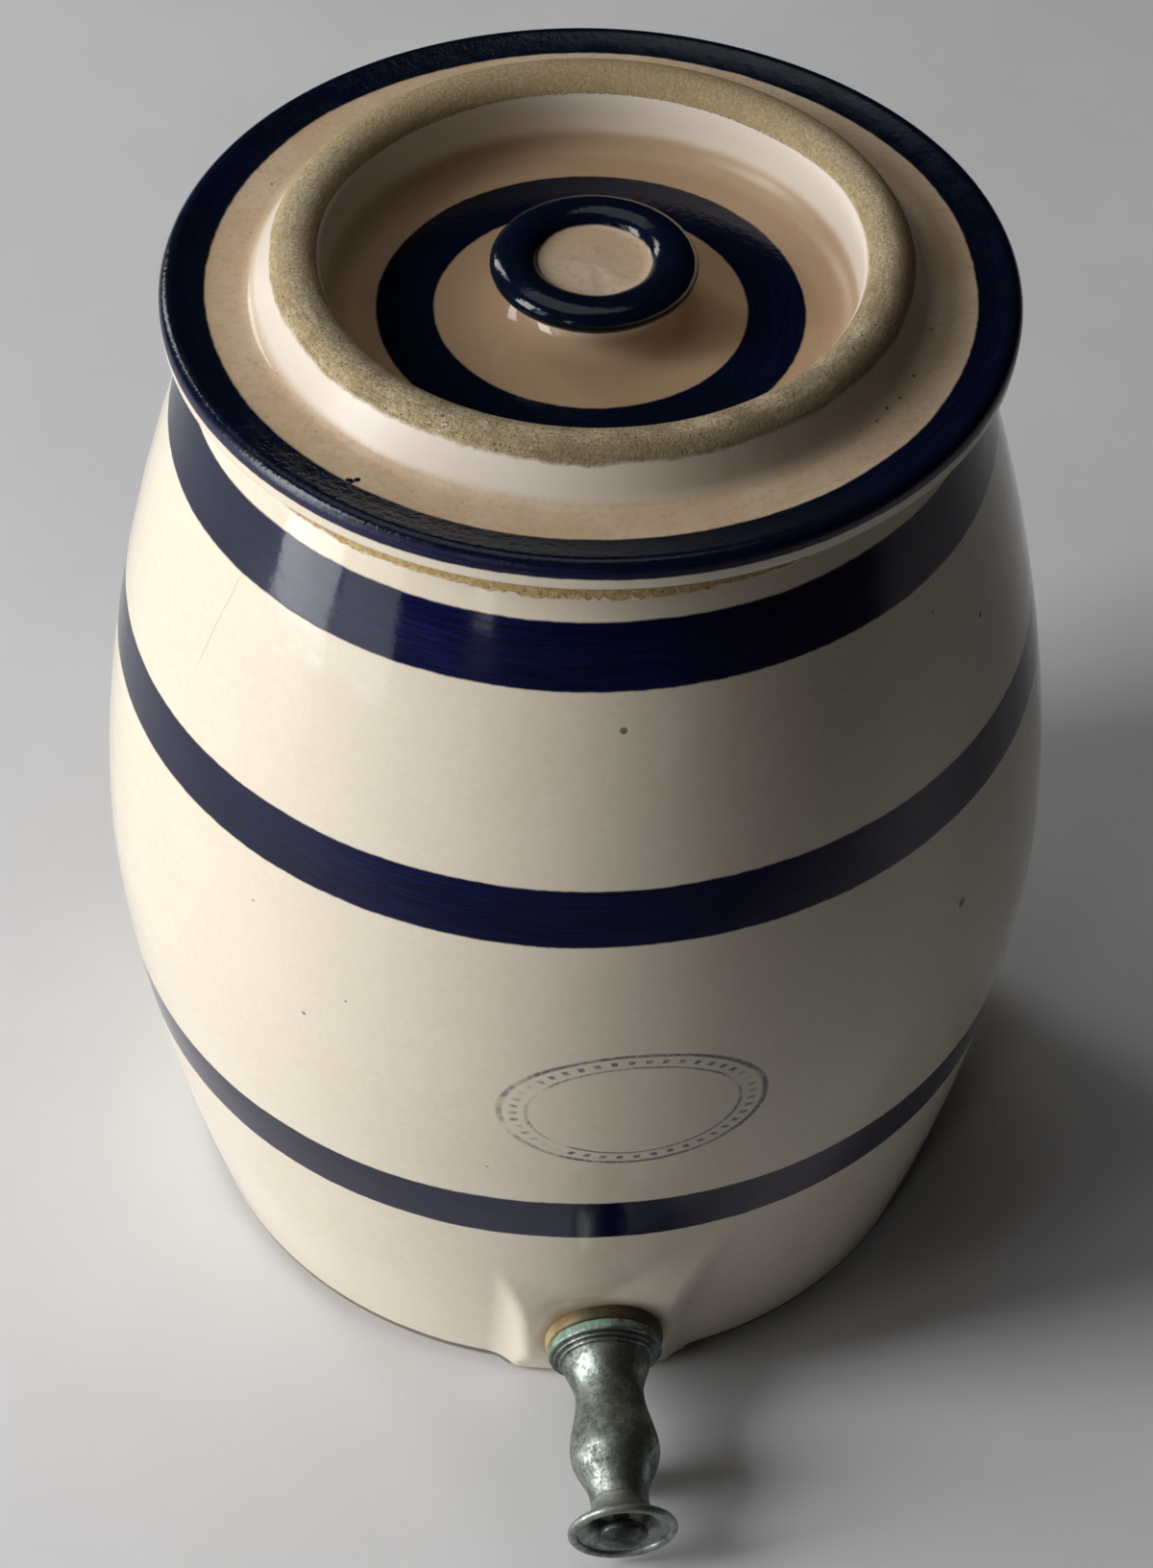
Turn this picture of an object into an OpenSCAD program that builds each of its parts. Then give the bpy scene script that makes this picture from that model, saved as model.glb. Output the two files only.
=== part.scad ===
// Stoneware water crock with a loose lid and a self-closing push tap.
// Millimetres, +Z up, origin at the centre of the base, tap towards -Y.

/* [Crock] */
// Outer radius of the base
base_radius = 98.6; // [90:0.1:112]
// Outer radius at the widest place
belly_radius = 119.4; // [114:0.1:132]
// Height of the widest place
belly_height = 122; // [100:1:150]
// Outer radius of the wall at the rim
rim_radius = 88.6; // [82:0.1:98]
// Height of the rim that the lid rests on
rim_height = 274; // [240:1:320]
// Fullness of the wall below the belly
lower_fullness = 1.58; // [1.2:0.01:2.2]
// Fullness of the wall above the belly
upper_fullness = 1.82; // [1.4:0.01:2.4]
// Thickness of the wall
wall = 9; // [7:0.5:12]
// Thickness of the floor
floor_thickness = 10; // [7:0.5:13]
// Rounding of the rim's two edges
rim_round = 3; // [1:0.1:3.4]
// Bevel round the foot
foot_bevel = 1.6; // [0.5:0.1:4]
// Rounding between floor and wall inside
floor_fillet = 10; // [3:0.5:20]

/* [Tap boss] */
// Height of the tap's axis at the boss face
tap_height = 24.5; // [23:0.5:36]
// How far the tap points down
tap_droop = 8; // [0:0.5:12]
// How far the boss stands out from the wall at the tap's axis
boss_depth = 2.4; // [2:0.1:8]
// How far the boss stands out from the wall at the base
boss_toe = 2.4; // [1:0.1:4]
// Width of the flat face of the boss at the tap's axis
boss_width = 38; // [33:0.5:46]
// How far each flank of the boss leans outwards towards its top
boss_flare = 7; // [0:0.5:15]
// Height of the boss's flat face above the tap's axis
boss_top = 17; // [16:0.5:30]
// How far the boss leans back above its flat face
boss_lean = 13; // [8:0.5:40]
// Width that the boss's sloping flanks add on each side
boss_spread = 15.5; // [4:0.5:24]
// Depth of the flat seat cut into the inside of the wall
seat_depth = 3.2; // [1:0.1:5]
// Gap between the shank and its hole in the wall
shank_clearance = 1; // [0.4:0.1:2]

/* [Lid] */
// How far the lid reaches past the rim's radius
lid_overhang = 10.6; // [6:0.1:16]
// Gap between the lid's collar and the mouth
lid_clearance = 2.5; // [1:0.1:4]
// Height of the lid's flat shoulder above the rim
shoulder_rise = 9.1; // [7:0.1:12]
// Depth of the collar below the rim
collar_depth = 8; // [4:0.5:14]
// Half width of the rolled edge
roll_width = 4.8; // [3:0.1:6]
// Half height of the rolled edge
roll_height = 4.3; // [3:0.1:6]
// Distance of the raised ring from the collar's outside
ridge_inset = 4.2; // [3:0.1:8]
// Width of the raised ring's top
ridge_width = 11.7; // [8:0.1:16]
// Height of the raised ring's edges above the rim
ridge_rise = 16.9; // [14:0.1:24]
// Height of the raised ring's rounded top above its edges
ridge_crown = 3.9; // [0.4:0.1:5]
// Run of the raised ring's outer slope
ridge_slope = 3.8; // [2:0.1:8]
// Height of the sunken floor above the rim
recess_rise = 1.4; // [0:0.1:4]
// Thickness of the lid's sunken middle
lid_thickness = 7.4; // [6:0.1:11]
// Radius of the knob
knob_radius = 24; // [18:0.5:30]
// Radius of the hollow in the knob's top
dimple_radius = 13.1; // [8:0.1:15]
// Height of the knob above the sunken floor
knob_rise = 16.2; // [13:0.1:20]
// Half height of the knob's rounded edge
knob_edge = 3.4; // [2:0.1:4.5]
// Radius of the knob's neck
knob_neck = 16; // [12:0.5:17]

/* [Tap] */
// Thickness of the outer gasket
gasket_thickness = 3.6; // [2:0.1:5]
// How far the outer gasket reaches past the flange
gasket_lip = 0.5; // [0:0.1:2]
// Radius of the flange
flange_radius = 14.7; // [13.5:0.1:18]
// Thickness of the flange's rim
flange_thickness = 3; // [2:0.1:5]
// Step in radius at each groove ring
ring_step = 1.2; // [0.6:0.1:1.5]
// Width of each groove ring
ring_width = 0.9; // [0.5:0.1:1.5]
// Radius of the waist behind the bulge
waist_radius = 8.8; // [8:0.05:10]
// Distance from the flange's back to the waist
waist_at = 14.6; // [12:0.1:18]
// Radius of the bulge
bulge_radius = 11.45; // [10.6:0.05:14]
// Distance from the flange's back to the bulge
bulge_at = 30.8; // [28:0.1:32]
// Radius of the throat in front of the bulge
throat_radius = 7.35; // [7.1:0.05:9]
// Distance from the flange's back to the throat
throat_at = 44.3; // [43.5:0.1:48]
// Radius of the bell cup's lip
bell_radius = 13.85; // [12.5:0.05:17]
// Length of the bell cup in front of the throat
bell_length = 9.1; // [9:0.1:13]
// Thickness of the bell cup's rolled lip
lip_thickness = 2.4; // [1.4:0.1:3]
// Thickness of the bell cup's floor
bell_floor = 2; // [1.5:0.1:2.5]
// Radius of the push button
button_radius = 6.25; // [5:0.05:6.4]
// Thickness of the push button's edge
button_edge = 1.4; // [1:0.1:1.8]
// How far the push button's edge stands out of the bell cup
button_proud = 0.3; // [0:0.1:1.5]
// Radius of the hub behind the push button
button_hub = 3.6; // [3:0.1:4.5]
// Height of the push button's crown
button_crown = 2.8; // [1.5:0.1:3.5]
// Travel of the push button
button_travel = 4; // [2:0.1:4.2]

/* [Outlet] */
// Distance of the spout behind the bulge's widest place
spout_setback = 0.9; // [0.3:0.1:1.5]
// Outer radius of the spout
spout_radius = 5.2; // [4.6:0.1:6]
// Radius of the spout's bore
spout_bore = 3.2; // [2.4:0.1:3.6]
// Reach of the spout below the tap's axis
spout_reach = 17; // [14:0.5:18]
// Length of the spout's outer taper
spout_taper = 2.5; // [1:0.1:4]

/* [Shank and valve] */
// Outer radius of the threaded shank
shank_radius = 8; // [7.6:0.1:9]
// Radius of the shank's bore
shank_bore = 5.8; // [5.6:0.05:6.2]
// Length of shank past the nut
shank_tail = 6; // [4:0.5:10]
// Thickness of the inner gasket
inner_gasket_thickness = 3; // [2:0.1:5]
// Radius of the inner gasket and washer
inner_gasket_radius = 14; // [12:0.1:14.8]
// Thickness of the inner washer
washer_thickness = 1.5; // [1:0.1:3]
// Thickness of the lock nut
nut_thickness = 8; // [5:0.5:10]
// Width across the flats of the lock nut
nut_flats = 22; // [20:0.5:24]
// Radius of the valve stem
stem_radius = 2; // [1.8:0.05:2.4]
// Radius of the stem where it is threaded
stem_thread = 1.5; // [1.4:0.05:1.7]
// Radius of the stem's guided tail
stem_tail = 1.25; // [1:0.05:1.35]
// Radius of the passage in front of the seat
passage_radius = 3.6; // [3.2:0.05:4]
// Length of the passage
passage_length = 5.5; // [4:0.1:8]
// Radius of the water chamber
chamber_radius = 4.2; // [4:0.05:4.6]
// Radius of the packing box
box_radius = 5.2; // [4.9:0.05:5.6]
// Thickness of the packing washer
packing_washer_thickness = 1; // [0.6:0.1:1.5]
// Thickness of the stem packing
packing_thickness = 4; // [2.5:0.1:5]
// Radius of the valve disc and its washer
disc_radius = 5; // [4.6:0.05:5.2]
// Thickness of the valve disc
disc_thickness = 2.5; // [1.5:0.1:4]
// Thickness of the valve washer
valve_washer_thickness = 2; // [1:0.1:3]
// Thickness of the valve nut
valve_nut_thickness = 2.2; // [1.5:0.1:3]
// Width across the flats of the valve nut
valve_nut_flats = 5.5; // [5:0.1:6.2]
// Thickness of the spring retainer
retainer_thickness = 4; // [2.5:0.1:5]
// Recess of the retainer in the end of the shank
retainer_recess = 1; // [0.5:0.1:2]
// Radius of the retainer's water holes
retainer_hole = 1; // [0.6:0.05:1.05]
// Radius of the circle that the water holes lie on
retainer_hole_circle = 2.75; // [2.6:0.05:2.9]
// Radius of the spring's centre line
spring_radius = 4.4; // [4.2:0.05:4.7]
// Thickness of the spring's wire
spring_wire = 0.8; // [0.5:0.05:0.9]
// Number of curls in the spring
spring_curls = 8; // [5:1:10]
// Gap between screwed or guided pieces
fit_gap = 0.05; // [0.02:0.01:0.09]

/* [Hidden] */
$fn = 96;
glaze_colour = "cornsilk";
metal_colour = "darkgray";
brass_colour = "darkgoldenrod";
rubber_colour = "peru";
fibre_colour = "tan";

// Steps along a long curve, and along a short one
curve_steps = 20;
arc_steps = 8;
// Angle left out where an arc meets the line before it
arc_skip = 10;
// Overshoot of every cut, and a length past the end of every block that is trimmed
cut = 1;
far = 100;

// Points of an elliptic arc about a centre
function arc(x, y, rx, ry, from, to) =
    [for (i = [0 : arc_steps])
        let (a = from + (to - from) * i / arc_steps)
        [x + rx * cos(a), y + ry * sin(a)]];
// Points of a round arc about a centre
function fillet(x, y, r, from, to) = arc(x, y, r, r, from, to);
// Smooth step from 0 to 1
function ease(t) = (1 - cos(180 * t)) / 2;
// Smooth curve between two turned radii, without its first point
function swell(at, r, to_at, to_r) =
    [for (i = [1 : arc_steps])
        let (t = i / arc_steps)
        [r + (to_r - r) * ease(t), at + (to_at - at) * t]];

// Crock wall
function outer_radius(z) = z < belly_height
    ? belly_radius - (belly_radius - base_radius) * pow((belly_height - z) / belly_height, lower_fullness)
    : belly_radius - (belly_radius - rim_radius)
        * pow((z - belly_height) / (rim_height - belly_height), upper_fullness);
function inner_radius(z) = outer_radius(z) - wall;
function heights(from, to) = [for (i = [0 : curve_steps]) from + (to - from) * i / curve_steps];
rim_start = rim_height - rim_round;
fillet_top = floor_thickness + floor_fillet;

// Boss, and where the tap's axis meets its face
boss_face = outer_radius(tap_height) + boss_depth;
boss_half = boss_width / 2;
boss_root_half = boss_half + boss_spread;
boss_root = boss_face - sqrt(pow(base_radius, 2) - pow(boss_root_half, 2)) + cut;
toe_margin = 1;
toe_top = tap_height - flange_radius - gasket_lip - toe_margin;
toe_slope = (boss_face - (tap_height - toe_top) * tan(tap_droop) - base_radius - boss_toe) / toe_top;
clamp_thickness = boss_depth + wall - seat_depth;
shank_hole = shank_radius + shank_clearance;
seat_margin = 1.5;
seat_radius = inner_gasket_radius + seat_margin;
seat_length = inner_gasket_thickness + washer_thickness + nut_thickness + seat_margin;

// Lid
lid_radius = rim_radius + lid_overhang;
collar_radius = inner_radius(rim_start) - lid_clearance;
ridge_outer = collar_radius - ridge_inset;
ridge_inner = ridge_outer - ridge_width;
ridge_middle = (ridge_outer + ridge_inner) / 2;
shoulder_z = rim_height + shoulder_rise;
ridge_z = rim_height + ridge_rise;
recess_z = rim_height + recess_rise;
recess_fillet = 4;
underside_z = recess_z - lid_thickness;
collar_z = rim_height - collar_depth;
collar_bevel = 1.5;
roll_x = lid_radius - roll_width;
roll_dip = 20;
roll_z = shoulder_z - roll_height * sin(roll_dip);
edge_lift = 3;
edge_bottom = rim_height + edge_lift;
edge_round = 1.2;
seat_edge = outer_radius(rim_start);
knob_top = recess_z + knob_rise;
knob_roll = (knob_radius - dimple_radius) / 2;
knob_roll_z = knob_top - knob_edge;
dimple_share = 0.2;
dimple_z = knob_roll_z + dimple_share * knob_edge;
flare_run = 14;
flare_share = 0.66;
flare_rise = flare_share * (knob_rise - 2 * knob_edge);
knob_under = -70;
knob_over = 163;

// Places along the tap's axis, outwards from the flange's back
rings_end = flange_thickness + 2 * ring_width;
hollow_step = 1;
hollow_radius = flange_radius - 2 * ring_step - hollow_step;
seat_at = 0;
chamber_at = seat_at + passage_length;
spout_at = bulge_at - spout_setback;
box_wall = 1.5;
box_at = spout_at + spout_bore + box_wall;
packing_at = box_at + packing_washer_thickness;
bell_tail_at = packing_at + packing_thickness;
bell_floor_at = throat_at + bell_floor;
bell_lip_at = throat_at + bell_length;
stop_gap = 0.1;
button_at = bell_lip_at + button_proud - button_edge;
hub_at = bell_floor_at + button_travel + stop_gap;
button_sphere = (pow(button_radius, 2) + pow(button_crown, 2)) / (2 * button_crown);
stem_front = button_at + button_edge;
washer_back = seat_at - valve_washer_thickness;
disc_back = washer_back - disc_thickness;
valve_nut_back = disc_back - valve_nut_thickness;
inner_gasket_at = -gasket_thickness - clamp_thickness - inner_gasket_thickness;
inner_washer_at = inner_gasket_at - washer_thickness;
lock_nut_at = inner_washer_at - nut_thickness;
shank_end = lock_nut_at - shank_tail;
retainer_at = shank_end + retainer_recess;
retainer_front = retainer_at + retainer_thickness;
stem_short = 1;
stem_end = retainer_at + stem_short;
retainer_holes = 6;
ledge_wall = 2;
spout_ledge = chamber_radius + ledge_wall;
spout_seat = spout_ledge + fit_gap;
spout_chamfer = 1;

// Turned bell cup: it flares along a bend out of the throat, inside as outside, to a rolled lip
lip_radius = lip_thickness / 2;
lip_at = bell_lip_at - lip_radius;
lip_x = bell_radius - lip_radius;
lip_back = -60;
knee_share = 0.66;
bell_knee = throat_at + knee_share * bell_length;
cup_knee = bell_floor_at + knee_share * (bell_length - bell_floor);
cup_clearance = 0.5;
cup_floor_radius = button_radius + cup_clearance;
function bend(p, q, s) =
    [for (i = [0 : arc_steps])
        let (t = i / arc_steps)
        (1 - t) * (1 - t) * p + 2 * t * (1 - t) * q + t * t * s];

// Spring: one tube swept along a helix
spring_rings = 8;
spring_sides = 6;
spring_from = retainer_front + spring_wire / 2 + fit_gap;
spring_to = disc_back - spring_wire / 2 - fit_gap;
spring_count = spring_curls * spring_rings;
spring_rise = (spring_to - spring_from) / spring_count;
function spring_angle(i) = 360 * i / spring_rings;
function spring_point(i) =
    let (a = spring_angle(i))
    [spring_radius * cos(a), spring_radius * sin(a), spring_from + spring_rise * i];
function spring_vertex(i, k) =
    let (side = 360 * k / spring_sides)
    let (out = spring_wire / 2 * cos(side))
    spring_point(i) + [out * cos(spring_angle(i)), out * sin(spring_angle(i)), spring_wire / 2 * sin(side)];
function spring_index(i, k) = i * spring_sides + k % spring_sides;
spring_points = [for (i = [0 : spring_count]) for (k = [0 : spring_sides - 1]) spring_vertex(i, k)];
spring_faces = concat(
    [for (i = [0 : spring_count - 1]) for (k = [0 : spring_sides - 1])
        [spring_index(i, k), spring_index(i, k + 1), spring_index(i + 1, k + 1)]],
    [for (i = [0 : spring_count - 1]) for (k = [0 : spring_sides - 1])
        [spring_index(i, k), spring_index(i + 1, k + 1), spring_index(i + 1, k)]],
    [for (k = [1 : spring_sides - 2]) [spring_index(0, 0), spring_index(0, k + 1), spring_index(0, k)]],
    [for (k = [1 : spring_sides - 2])
        [spring_index(spring_count, 0), spring_index(spring_count, k), spring_index(spring_count, k + 1)]]);
spring_gap = min([for (i = [0 : spring_count]) for (j = [i + spring_rings / 2 : 1 : spring_count])
    norm(spring_point(i) - spring_point(j))]) - spring_wire;
echo(str("Least gap of the return spring to itself: ", spring_gap, " mm"));

// Puts a turned piece on the tap's axis, outwards along its own Z
module on_tap(at = 0) {
    translate([0, -boss_face, tap_height])
        rotate([90 + tap_droop, 0, 0])
            translate([0, 0, gasket_thickness + at])
                children();
}

// Ring with a hole, between two places on the tap's axis
module tap_ring(from, to, radius, hole) {
    on_tap(from)
        difference() {
            cylinder(r = radius, h = to - from);
            translate([0, 0, -cut])
                cylinder(r = hole, h = to - from + 2 * cut);
        }
}

// Hexagon nut, between two places on the tap's axis
module tap_nut(from, to, flats, hole) {
    on_tap(from)
        difference() {
            rotate(30)
                cylinder(r = flats / sqrt(3), h = to - from, $fn = 6);
            translate([0, 0, -cut])
                cylinder(r = hole, h = to - from + 2 * cut);
        }
}

module crock_outside() {
    rotate_extrude()
        polygon(concat(
            [[0, 0], [base_radius - foot_bevel, 0]],
            [for (z = heights(foot_bevel, rim_start)) [outer_radius(z), z]],
            fillet(outer_radius(rim_start) - rim_round, rim_start, rim_round, arc_skip, 90),
            [[0, rim_height]]));
}

module crock_inside() {
    mouth = inner_radius(rim_start) + rim_round;
    rotate_extrude()
        polygon(concat(
            [[0, floor_thickness]],
            fillet(inner_radius(fillet_top) - floor_fillet, fillet_top, floor_fillet, -90, -arc_skip),
            [for (z = heights(fillet_top, rim_start)) [inner_radius(z), z]],
            fillet(mouth, rim_start, rim_round, 180 - arc_skip, 90),
            [[mouth, rim_height + cut], [0, rim_height + cut]]));
}

// Block with the boss's flat face and its flank on one side
module boss_flank(side) {
    rotate([90, 0, -side * boss_flare])
        linear_extrude(2 * far, center = true)
            polygon([[-side * far, 0], [side * boss_root_half, 0], [side * boss_half, boss_root],
                     [-side * far, boss_root]]);
}

// Pad that the tap is clamped to: flat in front, sloping at its flanks and top, drawn in at its toe
module boss() {
    intersection() {
        on_tap(-gasket_thickness - boss_root) {
            intersection() {
                boss_flank(1);
                boss_flank(-1);
                rotate([90, 0, 90])
                    linear_extrude(2 * far, center = true)
                        polygon([[-far, 0], [boss_top + boss_root / tan(boss_lean), 0],
                                 [boss_top, boss_root], [-far, boss_root]]);
            }
        }
        cylinder(r1 = base_radius + boss_toe, r2 = base_radius + boss_toe + far * toe_slope, h = far);
    }
}

module crock_body() {
    color(glaze_colour)
        difference() {
            union() {
                crock_outside();
                boss();
            }
            crock_inside();
            on_tap(-gasket_thickness - boss_root - far)
                cylinder(r = shank_hole, h = boss_root + far + cut);
            on_tap(-gasket_thickness - clamp_thickness - seat_length)
                cylinder(r = seat_radius, h = seat_length);
        }
}

module lid() {
    color(glaze_colour)
        rotate_extrude()
            polygon(concat(
                [[0, underside_z], [ridge_inner, underside_z], [ridge_inner + collar_bevel, collar_z],
                 [collar_radius - collar_bevel, collar_z], [collar_radius, collar_z + collar_bevel],
                 [collar_radius, rim_height], [seat_edge, rim_height]],
                fillet(lid_radius - edge_round, edge_bottom + edge_round, edge_round, arc_skip - 90, 0),
                arc(roll_x, roll_z, roll_width, roll_height, 0, 180 - roll_dip),
                [[ridge_outer + ridge_slope, shoulder_z]],
                arc(ridge_middle, ridge_z, ridge_width / 2, ridge_crown, 0, 180),
                fillet(ridge_inner - recess_fillet, recess_z + recess_fillet, recess_fillet, 0, -90),
                arc(knob_neck + flare_run, recess_z + flare_rise, flare_run, flare_rise, -90, -180),
                arc(knob_radius - knob_roll, knob_roll_z, knob_roll, knob_edge, knob_under, knob_over),
                [[0, dimple_z]]));
}

module outer_gasket() {
    color(rubber_colour)
        tap_ring(-gasket_thickness, 0, flange_radius + gasket_lip, shank_hole);
}

// Outside of the tap from the end of the shank to the throat
module tap_outside() {
    rotate_extrude()
        polygon(concat(
            [[0, shank_end], [shank_radius, shank_end], [shank_radius, 0], [flange_radius, 0],
             [flange_radius, flange_thickness], [flange_radius - ring_step, flange_thickness],
             [flange_radius - ring_step, flange_thickness + ring_width],
             [flange_radius - 2 * ring_step, flange_thickness + ring_width],
             [flange_radius - 2 * ring_step, rings_end], [hollow_radius, rings_end]],
            swell(rings_end, hollow_radius, waist_at, waist_radius),
            swell(waist_at, waist_radius, bulge_at, bulge_radius),
            swell(bulge_at, bulge_radius, throat_at, throat_radius),
            [[0, throat_at]]));
}

// Waterway of the tap: shank, passage, chamber and packing box
module tap_inside() {
    rotate_extrude()
        polygon([[0, shank_end - cut], [shank_bore, shank_end - cut], [shank_bore, seat_at],
                 [passage_radius, seat_at], [passage_radius, chamber_at], [chamber_radius, chamber_at],
                 [chamber_radius, box_at], [box_radius, box_at], [box_radius, throat_at + cut],
                 [0, throat_at + cut]]);
}

module tap_body() {
    color(metal_colour)
        on_tap()
            difference() {
                tap_outside();
                tap_inside();
                translate([0, 0, spout_at])
                    rotate([90, 0, 0])
                        cylinder(r = spout_bore, h = spout_ledge + cut);
                translate([0, -spout_ledge, spout_at])
                    rotate([90, 0, 0])
                        cylinder(r = spout_radius + fit_gap, h = bulge_radius);
            }
}

module bell_cup() {
    tail = box_radius - fit_gap;
    guide = stem_radius + fit_gap;
    color(metal_colour)
        on_tap()
            rotate_extrude()
                polygon(concat(
                    [[guide, bell_tail_at], [tail, bell_tail_at], [tail, throat_at]],
                    bend([throat_radius, throat_at],
                         [throat_radius, bell_knee],
                         [lip_x + lip_radius * cos(lip_back), lip_at + lip_radius * sin(lip_back)]),
                    fillet(lip_x, lip_at, lip_radius, lip_back + arc_skip, 180 - arc_skip),
                    bend([lip_x - lip_radius, lip_at],
                         [cup_floor_radius, cup_knee],
                         [cup_floor_radius, bell_floor_at]),
                    [[guide, bell_floor_at]]));
}

module push_button() {
    dome = asin(button_radius / button_sphere);
    crown_at = button_at + button_edge + button_crown;
    color(metal_colour)
        on_tap()
            difference() {
                rotate_extrude()
                    polygon(concat(
                        [[0, hub_at], [button_hub, hub_at], [button_hub, button_at],
                         [button_radius, button_at]],
                        fillet(0, crown_at - button_sphere, button_sphere, 90 - dome, 90)));
                translate([0, 0, hub_at - cut])
                    cylinder(r = stem_thread + fit_gap, h = stem_front - hub_at + cut);
            }
}

module outlet_spout() {
    color(metal_colour)
        on_tap(spout_at)
            rotate([90, 0, 0])
                difference() {
                    rotate_extrude()
                        polygon([[0, spout_seat], [spout_radius, spout_seat],
                                 [spout_radius, spout_reach - spout_taper],
                                 [spout_radius - spout_chamfer, spout_reach], [0, spout_reach]]);
                    cylinder(r = spout_bore, h = spout_reach + cut);
                }
}

module inner_gasket() {
    color(rubber_colour)
        tap_ring(inner_gasket_at, inner_gasket_at + inner_gasket_thickness, inner_gasket_radius,
                 shank_radius + fit_gap);
}

module inner_washer() {
    color(brass_colour)
        tap_ring(inner_washer_at, inner_gasket_at, inner_gasket_radius, shank_radius + fit_gap);
}

module lock_nut() {
    color(brass_colour)
        tap_nut(lock_nut_at, inner_washer_at, nut_flats, shank_radius + fit_gap);
}

module valve_stem() {
    color(brass_colour)
        on_tap()
            rotate_extrude()
                polygon([[0, stem_end], [stem_tail, stem_end], [stem_tail, valve_nut_back],
                         [stem_thread, valve_nut_back], [stem_thread, seat_at], [stem_radius, seat_at],
                         [stem_radius, hub_at], [stem_thread, hub_at], [stem_thread, stem_front],
                         [0, stem_front]]);
}

module valve_disc() {
    color(brass_colour)
        tap_ring(disc_back, washer_back, disc_radius, stem_thread + fit_gap);
}

module valve_washer() {
    color(rubber_colour)
        tap_ring(washer_back, seat_at, disc_radius, stem_thread + fit_gap);
}

module valve_nut() {
    color(brass_colour)
        tap_nut(valve_nut_back, disc_back, valve_nut_flats, stem_thread + fit_gap);
}

module return_spring() {
    color(metal_colour)
        on_tap()
            polyhedron(points = spring_points, faces = spring_faces, convexity = 10);
}

module spring_retainer() {
    color(brass_colour)
        on_tap(retainer_at)
            difference() {
                cylinder(r = shank_bore - fit_gap, h = retainer_thickness);
                translate([0, 0, -cut])
                    cylinder(r = stem_tail + fit_gap, h = retainer_thickness + 2 * cut);
                for (i = [0 : retainer_holes - 1])
                    rotate(360 * i / retainer_holes)
                        translate([retainer_hole_circle, 0, -cut])
                            cylinder(r = retainer_hole, h = retainer_thickness + 2 * cut);
            }
}

module stem_packing() {
    color(fibre_colour)
        tap_ring(packing_at, bell_tail_at, box_radius - fit_gap, stem_radius + fit_gap);
}

module packing_washer() {
    color(brass_colour)
        tap_ring(box_at, packing_at, box_radius - fit_gap, stem_radius + fit_gap);
}

crock_body();
lid();
outer_gasket();
tap_body();
bell_cup();
push_button();
outlet_spout();
inner_gasket();
inner_washer();
lock_nut();
valve_stem();
valve_disc();
valve_washer();
valve_nut();
return_spring();
spring_retainer();
stem_packing();
packing_washer();
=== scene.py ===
import math

import bmesh
import bpy
from mathutils import Matrix, Vector, noise


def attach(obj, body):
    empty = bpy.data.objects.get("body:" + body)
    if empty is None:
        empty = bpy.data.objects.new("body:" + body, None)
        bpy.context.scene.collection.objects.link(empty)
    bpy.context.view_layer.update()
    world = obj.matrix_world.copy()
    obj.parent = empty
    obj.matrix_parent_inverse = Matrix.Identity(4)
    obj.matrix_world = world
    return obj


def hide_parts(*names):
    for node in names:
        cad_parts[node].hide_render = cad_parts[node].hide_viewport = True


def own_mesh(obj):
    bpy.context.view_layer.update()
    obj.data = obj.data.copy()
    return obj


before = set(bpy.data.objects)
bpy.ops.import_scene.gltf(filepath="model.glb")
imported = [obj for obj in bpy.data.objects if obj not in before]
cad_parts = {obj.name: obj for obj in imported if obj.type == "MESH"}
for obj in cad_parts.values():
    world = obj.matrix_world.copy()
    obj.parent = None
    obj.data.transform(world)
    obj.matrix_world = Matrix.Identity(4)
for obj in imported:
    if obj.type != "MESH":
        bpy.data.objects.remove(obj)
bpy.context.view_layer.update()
scene = bpy.context.scene
MM = 0.001
# Edges that turn by more than this stay sharp
SHARP = math.radians(32)

# Crock wall, in millimetres
BASE, BELLY, BELLY_Z, RIM, RIM_Z = 98.6, 119.4, 122.0, 88.6, 274.0
WALL, FLOOR, RIM_ROUND, FOOT, FLOOR_FILLET = 9.0, 10.0, 3.0, 1.6, 10.0
# Boss and tap axis
FACE, TAP_Z, DROOP, TOE, GASKET = 107.20, 24.5, math.radians(8), 2.4, 3.6
# Each side of the pad: half width, flare, flank slope, height of the flat above the tap, lean over it
PAD_LEFT, PAD_RIGHT = (20.8, 0.06, 0.75, 9.5, 0.30), (17.3, 0.18, 1.11, 20.0, 0.21)
C8, S8 = math.cos(DROOP), math.sin(DROOP)
# The pad's toe meets its face this far below the tap's axis
TOE_DROP = 16.2
TOE_SLOPE = (FACE - TOE_DROP * S8 / C8 - BASE - TOE) / (TAP_Z - TOE_DROP)
# The loose lid sits a little to the right, and its knob a little further
LID_X, KNOB_X, KNOB_Y = 1.1, 0.5, -0.1
# Height of the lid's flat, and radii of the tap's hole and of the flat seats round it
LID_FLAT, HOLE, SEAT = 283.1, 9.0, 15.5


def smin(a, b, k):
    h = max(k - abs(a - b), 0) / k
    return min(a, b) - h * h * k / 4


def smax(a, b, k):
    return -smin(-a, -b, k)


def ease(t):
    return (1 - math.cos(math.pi * t)) / 2


def outer(z):
    if z < BELLY_Z:
        return BELLY - (BELLY - BASE) * ((BELLY_Z - z) / BELLY_Z) ** 1.58
    return BELLY - (BELLY - RIM) * ((z - BELLY_Z) / (RIM_Z - BELLY_Z)) ** 1.82


def inner(z):
    return outer(z) - WALL


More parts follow.
